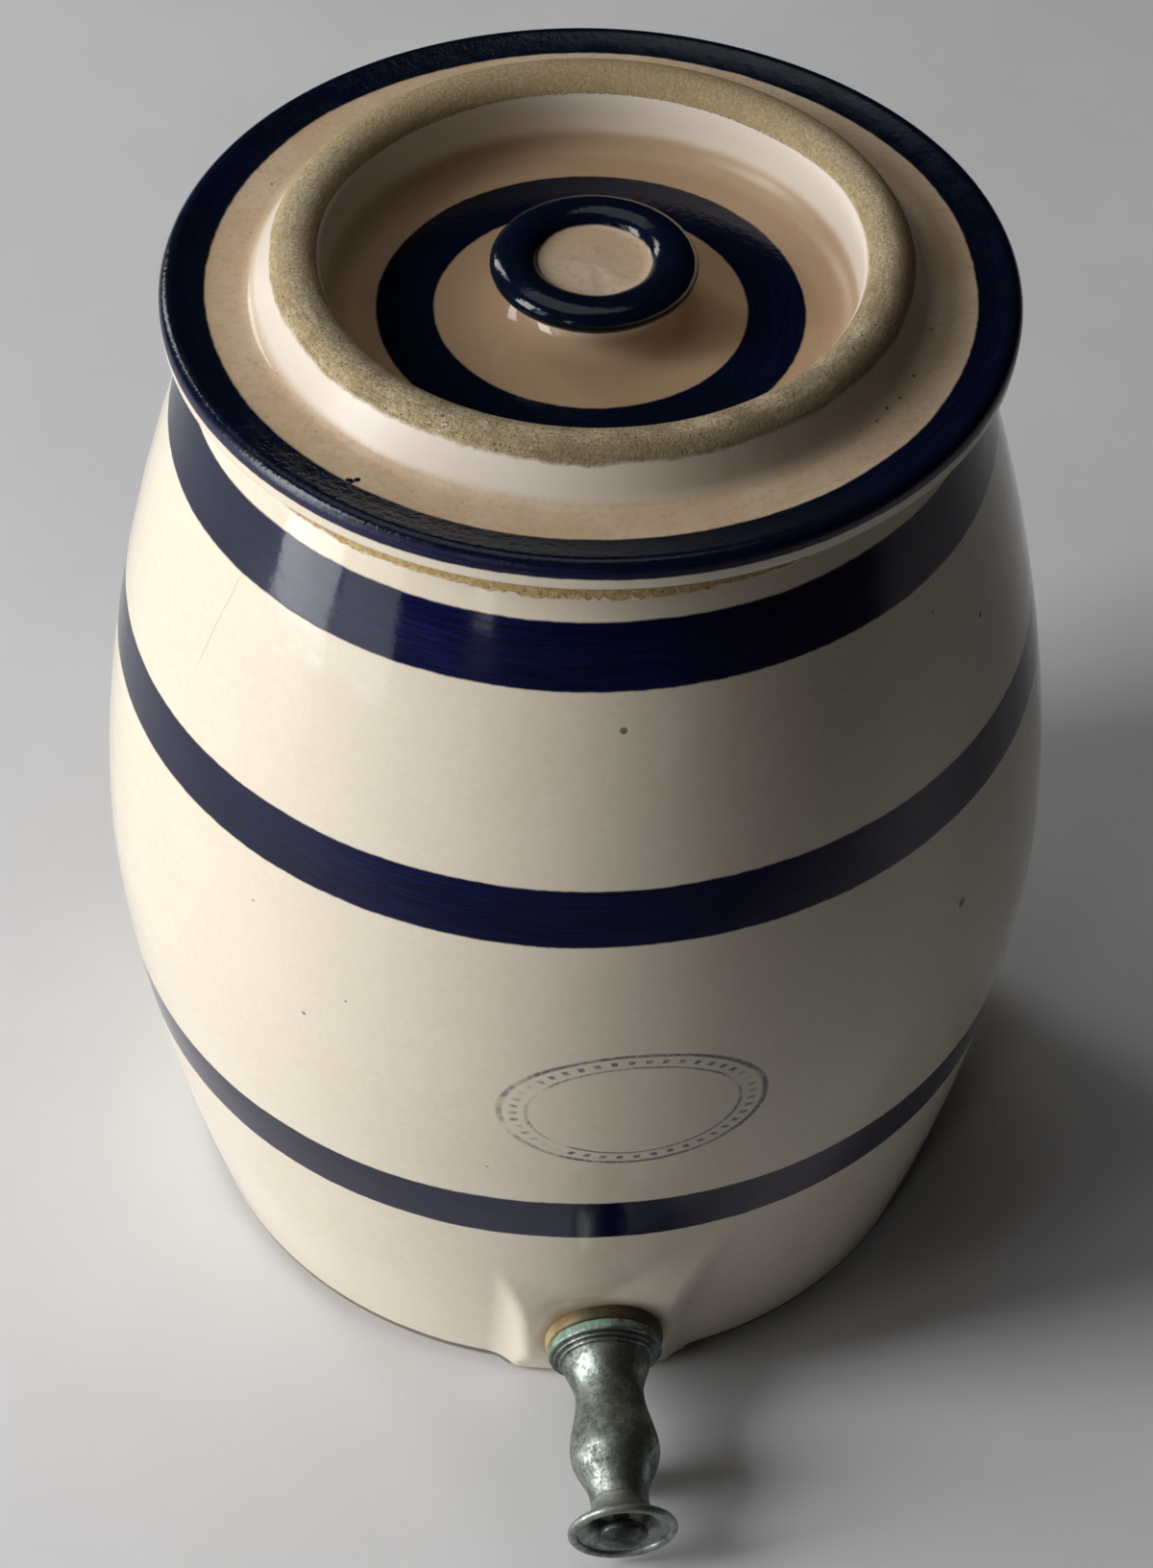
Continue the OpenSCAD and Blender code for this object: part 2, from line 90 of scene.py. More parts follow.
def boss(phi, z):
    """Radius of the tap's pad at an angle from the tap's side, in millimetres."""
    c, s = math.cos(phi), abs(math.sin(phi))
    h = z - TAP_Z
    t = ease(min(max(phi / 0.28 + 0.5, 0), 1))
    half, flare, slope, flat, lean = (a + (b - a) * t for a, b in zip(PAD_LEFT, PAD_RIGHT))
    front = (FACE + h * S8 / C8) / c
    top = (FACE - ((h * C8 - flat) * lean - h * S8) / (C8 + S8 * lean)) / c
    flank = (half + h * flare + slope * (FACE * C8 + h * S8)) / (s + slope * C8 * c)
    toe = BASE + TOE + z * TOE_SLOPE
    return smin(smin(smin(front, top, 1.6), flank, 2.2), toe, 1.0)


def arc(x, z, rx, rz, start, end, n=10):
    angles = [math.radians(start + (end - start) * i / n) for i in range(n + 1)]
    return [(x + rx * math.cos(a), z + rz * math.sin(a)) for a in angles]


def rounded(corners, n=5):
    """Outline through (r, z, radius) corners, each rounded by its radius."""
    out = []
    for i, (x, z, r) in enumerate(corners):
        p = Vector((x, z))
        if r <= 0 or i in (0, len(corners) - 1):
            out.append((x, z))
            continue
        a = Vector(corners[i - 1][:2]) - p
        b = Vector(corners[i + 1][:2]) - p
        r = min(r, a.length * 0.48, b.length * 0.48)
        p0, p1 = p + a.normalized() * r, p + b.normalized() * r
        for k in range(n + 1):
            t = k / n
            q = p0 * (1 - t) ** 2 + p * (2 * t * (1 - t)) + p1 * t**2
            out.append((q.x, q.y))
    return out


def ridged(outline, longest):
    """Outline with its long straight stretches cut into shorter ones."""
    out = [outline[0]]
    for a, b in zip(outline, outline[1:]):
        n = max(1, math.ceil(math.dist(a, b) / longest))
        out += [(a[0] + (b[0] - a[0]) * k / n, a[1] + (b[1] - a[1]) * k / n) for k in range(1, n + 1)]
    return out


def swell(z0, r0, z1, r1, n=16):
    return [(r0 + (r1 - r0) * ease(k / n), z0 + (z1 - z0) * k / n) for k in range(1, n + 1)]


def bezier(p, q, s, n=14):
    out = []
    for k in range(n + 1):
        t = k / n
        out.append(tuple((1 - t) ** 2 * p[i] + 2 * t * (1 - t) * q[i] + t * t * s[i] for i in (0, 1)))
    return out


def finish_mesh(bm, name):
    bmesh.ops.remove_doubles(bm, verts=bm.verts, dist=1e-7)
    bmesh.ops.recalc_face_normals(bm, faces=bm.faces)
    for f in bm.faces:
        f.smooth = True
    for e in bm.edges:
        if len(e.link_faces) == 2 and e.calc_face_angle(0) > SHARP:
            e.smooth = False
    mesh = bpy.data.meshes.new(name)
    bm.to_mesh(mesh)
    bm.free()
    obj = bpy.data.objects.new(name, mesh)
    scene.collection.objects.link(obj)
    return obj


def turned(name, outline, angles=96, ring=False, move=None):
    """Mesh of an outline turned about Z. A ring's outline is closed and stays off the axis."""
    if isinstance(angles, int):
        angles = [2 * math.pi * i / angles for i in range(angles)]
    bm = bmesh.new()
    rows = []
    for r, z in outline:
        if r < 1e-6:
            rows.append([bm.verts.new((0, 0, z * MM))] * len(angles))
            continue
        row = []
        for a in angles:
            p = (r * math.cos(a), r * math.sin(a), z)
            p = move(p, a) if move else p
            row.append(bm.verts.new((p[0] * MM, p[1] * MM, p[2] * MM)))
        rows.append(row)
    pairs = list(zip(rows, rows[1:])) + ([(rows[-1], rows[0])] if ring else [])
    for low, high in pairs:
        for i in range(len(angles)):
            j = (i + 1) % len(angles)
            face = []
            for v in (low[i], low[j], high[j], high[i]):
                if v not in face:
                    face.append(v)
            if len(face) > 2:
                bm.faces.new(face)
    return finish_mesh(bm, name)


def cut(obj, cutter):
    """Takes one piece out of another and removes the cutter."""
    mod = obj.modifiers.new("cut", "BOOLEAN")
    mod.object = cutter
    mod.operation = "DIFFERENCE"
    mod.solver = "EXACT"
    bpy.context.view_layer.update()
    shape = bpy.data.meshes.new_from_object(obj.evaluated_get(bpy.context.evaluated_depsgraph_get()))
    obj.modifiers.clear()
    old, obj.data = obj.data, shape
    shape.name = obj.name
    bpy.data.meshes.remove(old)
    bpy.data.objects.remove(cutter)
    bm = bmesh.new()
    bm.from_mesh(shape)
    for f in bm.faces:
        f.smooth = True
    for e in bm.edges:
        e.smooth = len(e.link_faces) == 2 and e.calc_face_angle(0) < SHARP
    bm.to_mesh(shape)
    bm.free()


# Tap axis: local Z runs outwards from the flange's back
AXIS = Vector((0, -C8, -S8))
TAP_AT = (Vector((0, -FACE, TAP_Z)) + AXIS * GASKET) * MM
TAP = Matrix.Translation(TAP_AT) @ Matrix.Rotation(math.pi / 2 + DROOP, 4, "X")


def put(obj, material, body, slot, *nodes, matrix=None):
    if matrix is not None:
        obj.matrix_world = matrix
    obj.data.materials.clear()
    obj.data.materials.append(material)
    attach(obj, body)
    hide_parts(*nodes)


def polar(angle, radius, z):
    a = math.radians(angle)
    return (radius * math.cos(a) * MM, radius * math.sin(a) * MM, z * MM)


class Shader:
    """A material whose nodes are made one call at a time. Lengths are in metres."""

    def __init__(self, name, **constants):
        self.material = bpy.data.materials.new(name)
        self.material.use_nodes = True
        self.tree = self.material.node_tree
        self.tree.nodes.clear()
        self.surface = self.tree.nodes.new("ShaderNodeBsdfPrincipled")
        out = self.tree.nodes.new("ShaderNodeOutputMaterial")
        self.tree.links.new(self.surface.outputs[0], out.inputs[0])
        place = self.tree.nodes.new("ShaderNodeTexCoord")
        self.at, self.facing = place.outputs["Object"], place.outputs["Normal"]
        for socket, value in constants.items():
            self.surface.inputs[socket.replace("_", " ")].default_value = value

    def give(self, socket, value):
        if isinstance(value, bpy.types.NodeSocket):
            self.tree.links.new(value, socket)
        elif isinstance(value, tuple) and len(value) == 3 and socket.type == "RGBA":
            socket.default_value = (*value, 1)
        else:
            socket.default_value = value

    def set(self, **values):
        for socket, value in values.items():
            self.give(self.surface.inputs[socket.replace("_", " ")], value)

    def xyz(self, vector):
        n = self.tree.nodes.new("ShaderNodeSeparateXYZ")
        self.give(n.inputs[0], vector)
        return n.outputs

    def join(self, x, y, z):
        n = self.tree.nodes.new("ShaderNodeCombineXYZ")
        for socket, value in zip(n.inputs, (x, y, z)):
            self.give(socket, value)
        return n.outputs[0]

    def math(self, op, a, b=0.0):
        n = self.tree.nodes.new("ShaderNodeMath")
        n.operation = op
        self.give(n.inputs[0], a)
        self.give(n.inputs[1], b)
        return n.outputs[0]

    def add(self, a, b):
        return self.math("ADD", a, b)

    def mul(self, a, b):
        return self.math("MULTIPLY", a, b)

    def hypot(self, a, b):
        return self.math("SQRT", self.add(self.mul(a, a), self.mul(b, b)))

    def either(self, *masks):
        out = masks[0]
        for m in masks[1:]:
            out = self.math("MAXIMUM", out, m)
        return out

    def both(self, *masks):
        out = masks[0]
        for m in masks[1:]:
            out = self.mul(out, m)
        return out

    def other(self, mask):
        return self.math("SUBTRACT", 1.0, mask)

    def noise(self, scale, detail=3.0, rough=0.5, at=None):
        n = self.tree.nodes.new("ShaderNodeTexNoise")
        self.give(n.inputs["Vector"], at or self.at)
        for socket, value in (("Scale", scale), ("Detail", detail), ("Roughness", rough)):
            n.inputs[socket].default_value = value
        return n.outputs[0]

    def wobble(self, scale, size):
        """Noise centred on zero, of about the given size."""
        return self.mul(self.math("SUBTRACT", self.noise(scale, 2.0), 0.5), size * 2)

    def ramp(self, value, low, high, start=0.0, end=1.0):
        n = self.tree.nodes.new("ShaderNodeMapRange")
        n.interpolation_type = "SMOOTHSTEP"
        ends = {"Value": value, "From Min": low, "From Max": high, "To Min": start, "To Max": end}
        for socket, v in ends.items():
            self.give(n.inputs[socket], v)
        return n.outputs[0]

    def above(self, value, edge, soft):
        return self.ramp(value, edge - soft, edge + soft)

    def between(self, value, low, high, soft):
        return self.mul(self.above(value, low, soft), self.other(self.above(value, high, soft)))

    def mix(self, fac, a, b):
        n = self.tree.nodes.new("ShaderNodeMix")
        n.data_type = "RGBA"
        self.give(n.inputs[0], fac)
        self.give(n.inputs[6], a)
        self.give(n.inputs[7], b)
        return n.outputs[2]

    def blend(self, fac, a, b):
        n = self.tree.nodes.new("ShaderNodeMix")
        self.give(n.inputs[0], fac)
        self.give(n.inputs[2], a)
        self.give(n.inputs[3], b)
        return n.outputs[0]

    def specks(self, scale, size, share):
        """Small round spots, on a share of the cells."""
        n = self.tree.nodes.new("ShaderNodeTexVoronoi")
        self.give(n.inputs["Vector"], self.at)
        n.inputs["Scale"].default_value = scale
        near = self.ramp(n.outputs["Distance"], size * 0.5, size, 1.0, 0.0)
        kept = self.math("LESS_THAN", self.xyz(n.outputs["Color"])[0], share)
        return self.mul(near, kept)

    def spot(self, place, size, ragged=0.4):
        """One small mark of a given radius at a place."""
        n = self.tree.nodes.new("ShaderNodeVectorMath")
        n.operation = "DISTANCE"
        self.give(n.inputs[0], self.at)
        n.inputs[1].default_value = place
        away = self.add(n.outputs["Value"], self.wobble(1200, size * ragged))
        return self.ramp(away, size * 0.6, size, 1.0, 0.0)

    def bump(self, height, depth, under=None):
        n = self.tree.nodes.new("ShaderNodeBump")
        n.inputs["Distance"].default_value = depth
        self.give(n.inputs["Height"], height)
        if under is not None:
            self.give(n.inputs["Normal"], under)
        return n.outputs[0]


# Glaze and clay colours
CREAM = (0.74, 0.662, 0.54)
CREAM_WARM = (0.67, 0.575, 0.44)
CREAM_PALE = (0.79, 0.725, 0.61)
RECESS_CREAM = (0.83, 0.74, 0.665)
RING_CREAM = (0.70, 0.625, 0.565)
TAN = (0.585, 0.415, 0.26)
TAN_PALE = (0.67, 0.52, 0.37)
TAN_LIGHT = (0.76, 0.63, 0.48)
TAN_DARK = (0.42, 0.28, 0.16)
TAN_DEEP_SHADED = (0.40, 0.25, 0.135)
SAND = (0.43, 0.335, 0.187)
SAND_PALE = (0.70, 0.60, 0.415)
OCHRE = (0.40, 0.285, 0.125)
GOLD_CLAY = (0.46, 0.295, 0.115)
GOLD_CLAY_PALE = (0.64, 0.47, 0.24)
PIT = (0.045, 0.031, 0.018)
NAVY = (0.0018, 0.0030, 0.015)
COBALT = (0.0065, 0.0088, 0.072)
TEAL = (0.0022, 0.0062, 0.0095)
SLATE = (0.0042, 0.0075, 0.030)
IRON = (0.09, 0.055, 0.03)
INK = (0.035, 0.042, 0.085)

# Painted bands on the wall: lower and upper edge, and how soft an edge is, in metres
BANDS = ((0.2464, 0.2626), (0.1806, 0.1965), (0.0742, 0.0904))
EDGE_SOFT = 0.00032
# Stamp: half width, half height, place across the wall, height, wall radius there, and beads
STAMP_WIDE, STAMP_HIGH, STAMP_X, STAMP_Z, STAMP_RADIUS, BEADS = 0.033, 0.0195, 0.0040, 0.1275, 0.1185, 44.0
# Height in the lid's recess where the floor's tan gives way to the wall's cream, in metres
RECESS_SPLIT = 0.2800
# Marks: angle in degrees, height or distance from the axis, and radius, in millimetres
WALL_SPOTS = (
    (-89.9, 237.2, 1.1),
    (-42.9, 152.4, 1.5),
    (-32.4, 224.7, 0.9),
    (-128, 140, 0.7),
    (38, 170, 1.0),
    (120, 205, 0.9),
)
LID_PITS = (
    (-45.9, 79.6, 0.6),
    (-42, 80.4, 0.45),
    (-38.5, 79.9, 0.7),
    (-35, 80.6, 0.5),
    (-29, 80.2, 0.6),
    (-16.8, 79.9, 0.7),
    (-87.7, 76.5, 0.5),
    (150, 82, 0.5),
)
BLUE_DRIPS = ((-131, 88.0, 1.5), (-130.4, 86.4, 0.9))


def glaze_cream(s):
    """Cream glaze: broad warm clouds, fine mottling and a few iron specks."""
    cloud = s.ramp(s.noise(14, 4, 0.55), 0.35, 0.7)
    fine = s.ramp(s.noise(420, 3, 0.6), 0.35, 0.7)
    colour = s.mix(s.mul(cloud, 0.55), CREAM, CREAM_WARM)
    colour = s.mix(s.mul(fine, 0.30), colour, CREAM_PALE)
    grain = s.ramp(s.noise(1100, 3, 0.65), 0.50, 0.75)
    colour = s.mix(s.mul(grain, 0.35), colour, CREAM_WARM)
    colour = s.mix(s.mul(s.specks(420, 0.10, 0.20), 0.22), colour, (0.32, 0.22, 0.12))
    return s.mix(s.mul(s.specks(95, 0.045, 0.10), 0.75), colour, (0.10, 0.06, 0.03))


def glaze_blue(s, radius, height, light=COBALT, pooled=NAVY):
    """Cobalt glaze with the drag of a brush round the pot, and darker where it pools."""
    x, y, _ = s.xyz(s.at)
    turn = s.mul(s.math("ARCTAN2", y, x), 0.9)
    drag = s.noise(7, 3, 0.6, at=s.join(turn, s.mul(height, 260), s.mul(radius, 260)))
    pool = s.ramp(s.noise(16, 3, 0.6), 0.32, 0.62)
    colour = s.mix(s.ramp(drag, 0.3, 0.75), NAVY, light)
    return s.mix(s.mul(pool, 0.6), colour, pooled)


def raw_clay(s, edge, worn):
    """Sandy unglazed clay: pale and dark grains, ochre along its edges, and open pits where it is worn."""
    grain = s.ramp(s.noise(1300, 4, 0.75), 0.38, 0.62)
    colour = s.mix(grain, SAND, SAND_PALE)
    soil = s.both(worn, s.ramp(s.noise(75, 5, 0.7), 0.42, 0.62))
    colour = s.mix(s.mul(soil, 0.6), colour, (0.22, 0.16, 0.09))
    rust = s.both(edge, s.ramp(s.noise(480, 3, 0.7), 0.30, 0.62))
    colour = s.mix(s.mul(rust, 0.55), colour, OCHRE)
    colour = s.mix(s.mul(s.both(worn, s.specks(1000, 0.36, 0.26)), 0.75), colour, PIT)
    return s.mix(s.mul(s.both(worn, s.specks(380, 0.17, 0.16)), 0.7), colour, PIT)


def glaze_bump(s, blue, bare, pebbled):
    """Waves and orange peel of the glaze, the thicker blue, pebbles on it, and grain on bare clay."""
    normal = s.bump(s.noise(26, 2, 0.5), 0.00032)
    normal = s.bump(s.noise(240, 2, 0.5), 0.000022, normal)
    normal = s.bump(blue, 0.00004, normal)
    normal = s.bump(s.mul(s.noise(520, 3, 0.6), pebbled), 0.0002, normal)
    return s.bump(s.mul(s.noise(900, 5, 0.75), bare), 0.00065, normal)


def glaze_roughness(s, matte, bare):
    glossy = s.ramp(s.noise(60, 3), 0.3, 0.7, 0.06, 0.12)
    dulled = s.ramp(s.noise(180, 4, 0.6), 0.3, 0.7, 0.12, 0.24)
    return s.blend(bare, s.blend(matte, glossy, dulled), 0.87)


def hairline(s, x, y, z):
    """A fine slanting crack in the glaze."""
    degrees = s.mul(s.math("ARCTAN2", y, x), 180 / math.pi)
    course = s.add(s.mul(z, 156.0), -185.1)
    stray = s.math("ABSOLUTE", s.add(s.math("SUBTRACT", degrees, course), s.wobble(90, 0.5)))
    return s.both(s.ramp(stray, 0.05, 0.16, 1.0, 0.0), s.between(z, 0.2165, 0.2455, 0.004))


def stamp(s, x, y, z):
    """Ink of a worn stamp: a plain beaded oval."""
    across = s.mul(s.math("ARCTAN2", x, s.mul(y, -1.0)), STAMP_RADIUS / STAMP_WIDE)
    across = s.add(across, -STAMP_X / STAMP_WIDE)
    along = s.mul(s.add(z, -STAMP_Z), 1 / STAMP_HIGH)
    oval = s.add(s.hypot(across, along), s.wobble(160, 0.012))
    beads = s.ramp(s.math("SINE", s.mul(s.math("ARCTAN2", along, across), BEADS)), 0.1, 0.6)
    lines = s.either(
        s.between(oval, 0.955, 1.0, 0.012),
        s.between(oval, 0.77, 0.795, 0.01),
        s.both(s.between(oval, 0.845, 0.905, 0.014), beads),
    )
    kept = s.ramp(s.add(s.noise(75, 4, 0.65), s.mul(across, 0.05)), 0.28, 0.58)
    return s.both(lines, kept, s.ramp(s.noise(900, 3, 0.6), 0.2, 0.5))


def gasket_stain(s, x, y, z):
    """A brown stain on the pad, round the gasket."""
    away = s.add(s.hypot(x, s.add(z, -TAP_Z * MM)), s.wobble(160, 0.0012))
    return s.both(s.other(s.above(away, 0.0168, 0.0018)), s.other(s.above(y, -0.09, 0.004)))


def painted_foot_shadow(s, x, y, z):
    """Painted shadow: a dark line along the foot, where the crock meets the floor, not on the tap's pad."""
    beside_pad = s.either(s.above(s.math("ABSOLUTE", x), 0.0225, 0.0015), s.above(y, 0.0, 0.01))
    low = s.other(s.above(s.add(z, s.wobble(120, 0.0005)), 0.0039, 0.0004))
    return s.both(low, beside_pad)


def body_material():
    """Wall of the crock: cream glaze, blue bands, small marks, and bare clay at the rim and the base."""
    s = Shader("stoneware_wall", IOR=1.37)
    x, y, z = s.xyz(s.at)
    nx, ny, nz = s.xyz(s.facing)
    outside = s.above(s.add(s.mul(nx, x), s.mul(ny, y)), 0.0, 0.004)
    edge = s.add(z, s.add(s.wobble(22, 0.0007), s.wobble(300, 0.00022)))
    bands = s.either(*(s.between(edge, low, high, EDGE_SOFT) for low, high in BANDS))
    bands = s.both(bands, outside)
    cream = glaze_cream(s)
    for angle, high, size in WALL_SPOTS:
        spot = s.spot(polar(angle, outer(high), high), size * MM)
        cream = s.mix(s.mul(spot, 0.8), cream, IRON)
    cream = s.mix(s.mul(hairline(s, x, y, z), 0.4), cream, (0.30, 0.24, 0.17))
    cream = s.mix(s.mul(stamp(s, x, y, z), 0.82), cream, INK)
    stain = gasket_stain(s, x, y, z)
    cream = s.mix(s.mul(stain, 0.55), cream, (0.26, 0.155, 0.06))
    colour = s.mix(bands, cream, glaze_blue(s, s.hypot(x, y), z))
    # Painted shadow along the foot
    colour = s.mix(s.mul(painted_foot_shadow(s, x, y, z), 0.85), colour, (0.028, 0.025, 0.027))
    ragged = s.add(z, s.add(s.wobble(60, 0.0009), s.wobble(420, 0.0009)))
    bare_rim = s.above(ragged, 0.2679, 0.0003)
    bare_base = s.both(s.other(s.above(z, 0.0014, 0.0004)), s.other(s.above(nz, -0.4, 0.2)))
    bare = s.either(bare_rim, bare_base)
    clay = s.mix(s.ramp(s.noise(700, 4, 0.7), 0.35, 0.65), GOLD_CLAY, GOLD_CLAY_PALE)
    clay = s.mix(s.mul(s.specks(800, 0.35, 0.2), 0.7), clay, (0.20, 0.12, 0.05))
    s.set(
        Base_Color=s.mix(bare, colour, clay),
        Roughness=glaze_roughness(s, stain, bare),
        Normal=glaze_bump(s, bands, bare, s.mul(bands, 0.05)),
    )
    return s.material


def lid_tan(s, inside, z):
    """Thin tan glaze of the lid's level parts, darker in the recess: browner glaze and painted shade."""
    tan = s.mix(s.ramp(s.noise(55, 5, 0.6), 0.36, 0.68), TAN, TAN_PALE)
    tan = s.mix(s.mul(s.ramp(s.noise(750, 3, 0.65), 0.46, 0.70), 0.55), tan, TAN_DARK)
    tan = s.mix(s.mul(s.ramp(s.noise(1500, 2, 0.6), 0.50, 0.72), 0.30), tan, TAN_LIGHT)
    tan = s.mix(s.mul(s.specks(260, 0.12, 0.28), 0.6), tan, (0.24, 0.14, 0.07))
    # Browner glaze and painted shade deep in the recess
    sunken_shade = s.both(inside, s.other(s.above(z, RECESS_SPLIT, 0.001)))
    return s.mix(s.mul(sunken_shade, 0.85), tan, TAN_DEEP_SHADED)


def ring_bare(s, y, z, radius, around):
    """Where the lid's ring is bare: its top, and lower and streaky inside at the back."""
    streaks = s.noise(9, 4, 0.7, at=s.join(s.mul(around, 9.0), s.mul(z, 60), 0.0))
    lower = s.both(s.ramp(y, 0.015, 0.050), s.add(s.mul(streaks, 0.0016), 0.0009))
    worn = s.add(s.wobble(70, 0.0006), s.wobble(500, 0.00025))
    return s.both(
        s.other(s.above(s.add(radius, worn), 0.0739, 0.0003)),
        s.either(s.above(radius, 0.0683, 0.0003), s.above(s.add(z, lower), 0.2923, 0.0003)),
        s.above(z, 0.2885, 0.0004),
    )


def ring_clay(s, x, y, z, radius, around):
    """Clay of the lid's ring: scratched and pitted in front, darker at the back, with painted shade on its
    outer side towards the right and front.
    """
    front = s.ramp(y, -0.05, 0.03, 1.0, 0.15)
    crest = s.between(s.add(radius, s.wobble(300, 0.0012)), 0.0652, 0.0702, 0.0012)
    clay = raw_clay(s, s.other(crest), front)
    lines = s.noise(9, 6, 0.75, at=s.join(s.mul(around, 1.2), s.mul(radius, 420), s.mul(z, 200)))
    scratch = s.both(s.ramp(lines, 0.46, 0.66), s.ramp(front, 0.0, 1.0, 0.5, 1.0))
    clay = s.mix(s.mul(scratch, 0.65), clay, (0.13, 0.09, 0.045))
    clay = s.mix(s.mul(s.ramp(y, 0.02, 0.06), 0.60), clay, (0.40, 0.29, 0.15))
    # Painted shade on the ring's outer side, towards the right and front
    shade_outer_right = s.both(s.above(radius, 0.0698, 0.0018), s.ramp(s.math("SUBTRACT", x, y), 0.02, 0.07))
    return s.mix(s.mul(shade_outer_right, 0.55), clay, (0.20, 0.145, 0.08))


def lid_material():
    """Lid: tan on its level parts, cream on its walls, blue rim, ring and knob, and bare clay on the ring."""
    s = Shader("stoneware_lid", IOR=1.38)
    x, y, z = s.xyz(s.at)
    x = s.add(x, -LID_X * MM)
    nz = s.xyz(s.facing)[2]
    radius = s.hypot(x, y)
    around = s.math("ARCTAN2", y, x)
    knob_radius = s.hypot(s.math("SUBTRACT", x, KNOB_X * MM), s.math("SUBTRACT", y, KNOB_Y * MM))
    sway = s.add(s.wobble(24, 0.0006), s.wobble(320, 0.00022))
    edge = s.add(radius, sway)
    rim = s.both(s.above(edge, 0.0889, 0.00035), s.above(s.add(z, sway), 0.2808, 0.0003))
    ring = s.both(s.between(edge, 0.0363, 0.0498, EDGE_SOFT), s.other(s.above(z, RECESS_SPLIT, 0.001)))
    knob = s.both(s.between(s.add(knob_radius, sway), 0.0131, 0.0300, EDGE_SOFT), s.above(z, 0.2846, 0.0004))
    drips = [s.spot(polar(angle, away, LID_FLAT), size * MM) for angle, away, size in BLUE_DRIPS]
    blue = s.either(rim, ring, knob, *drips)
    inside = s.other(s.above(radius, 0.0635, 0.001))
    high = s.above(s.add(z, s.wobble(60, 0.0006)), RECESS_SPLIT, 0.0018)
    ring_wall = s.between(radius, 0.0720, 0.0785, 0.0006)
    walls = s.mix(s.mul(s.both(inside, high), 0.85), glaze_cream(s), RECESS_CREAM)
    walls = s.mix(s.mul(ring_wall, 0.65), walls, RING_CREAM)
    level = s.ramp(nz, 0.50, 0.98)
    # Browner glaze and painted shade at the foot of the recess wall
    recess_foot_shade = s.both(inside, s.other(high))
    # Painted shade: the ring's outer wall turns tan towards the right
    shaded = s.both(ring_wall, s.ramp(x, -0.02, 0.05))
    tanned = s.either(s.mul(level, 0.9), s.mul(recess_foot_shade, 0.85), s.mul(shaded, 0.55))
    colour = s.mix(tanned, walls, lid_tan(s, inside, z))
    pits = [s.spot(polar(angle, away, LID_FLAT + 0.1), size * MM) for angle, away, size in LID_PITS]
    colour = s.mix(s.mul(s.either(*pits), 0.85), colour, (0.07, 0.045, 0.025))
    side = s.both(rim, s.ramp(nz, 0.35, 0.80, 1.0, 0.0))
    paint = s.mix(side, glaze_blue(s, radius, z, SLATE, TEAL), glaze_blue(s, radius, z))
    colour = s.mix(blue, colour, paint)
    under = s.other(s.above(nz, -0.55, 0.25))
    bare = s.either(ring_bare(s, y, z, radius, around), under)
    dull = s.either(ring_wall, s.above(s.both(inside, radius), 0.0535, 0.002), s.mul(side, 0.9))
    pebbled = s.both(blue, s.either(s.both(rim, s.ramp(x, -0.03, 0.02, 0.8, 0.2)), 0.3))
    s.set(
        Base_Color=s.mix(bare, colour, ring_clay(s, x, y, z, radius, around)),
        Roughness=s.blend(s.both(dull, s.other(bare)), glaze_roughness(s, rim, bare), 0.34),
        Normal=glaze_bump(s, blue, bare, pebbled),
    )
    return s.material


def metal_material(name, dark, light, green, rough, pitted=1.0, verdigris=False):
    """Old metal: dark and bright patches, some green, and on request a crust of verdigris on the flange,
    thinned towards the right as painted shade.
    """
    s = Shader(name, Metallic=1.0)
    x, _, z = s.xyz(s.at)
    patch = s.ramp(s.noise(260, 5, 0.7), 0.36, 0.66)
    fine = s.ramp(s.noise(1300, 4, 0.7), 0.35, 0.7)
    colour = s.mix(s.add(s.mul(patch, 0.6), s.mul(fine, 0.4)), dark, light)
    colour = s.mix(s.mul(s.ramp(s.noise(170, 4, 0.65), 0.5, 0.75), 0.5), colour, green)
    roughness = s.ramp(s.add(s.mul(patch, 0.5), s.mul(fine, 0.5)), 0.1, 0.9, rough + 0.16, rough - 0.06)
    if verdigris:
        # Real verdigris, with painted shade: the crust thins towards the right, leaving darker metal there
        crust = s.both(
            s.between(s.add(z, s.wobble(500, 0.0009)), -0.0004, 0.0024, 0.0006),
            s.ramp(s.noise(420, 4, 0.65), 0.34, 0.58),
            s.ramp(x, -0.002, 0.011, 1.0, 0.25),
        )
        groove = s.either(s.between(z, 0.0029, 0.0034, 0.0002), s.between(z, 0.0038, 0.0043, 0.0002))
        colour = s.mix(s.mul(groove, 0.5), colour, (0.03, 0.035, 0.03))
        green_tone = s.mix(s.ramp(s.noise(600, 3, 0.6), 0.35, 0.65), (0.12, 0.24, 0.17), (0.27, 0.42, 0.32))
        colour = s.mix(s.mul(crust, 0.85), colour, green_tone)
        roughness = s.blend(crust, roughness, 0.8)
        s.set(Metallic=s.ramp(crust, 0.0, 1.0, 1.0, 0.15))
    dents = s.bump(s.noise(320, 4, 0.6), 0.00012 * pitted)
    s.set(
        Base_Color=colour,
        Roughness=roughness,
        Normal=s.bump(s.noise(1400, 4, 0.65), 0.00006 * pitted, dents),
    )
    return s.material


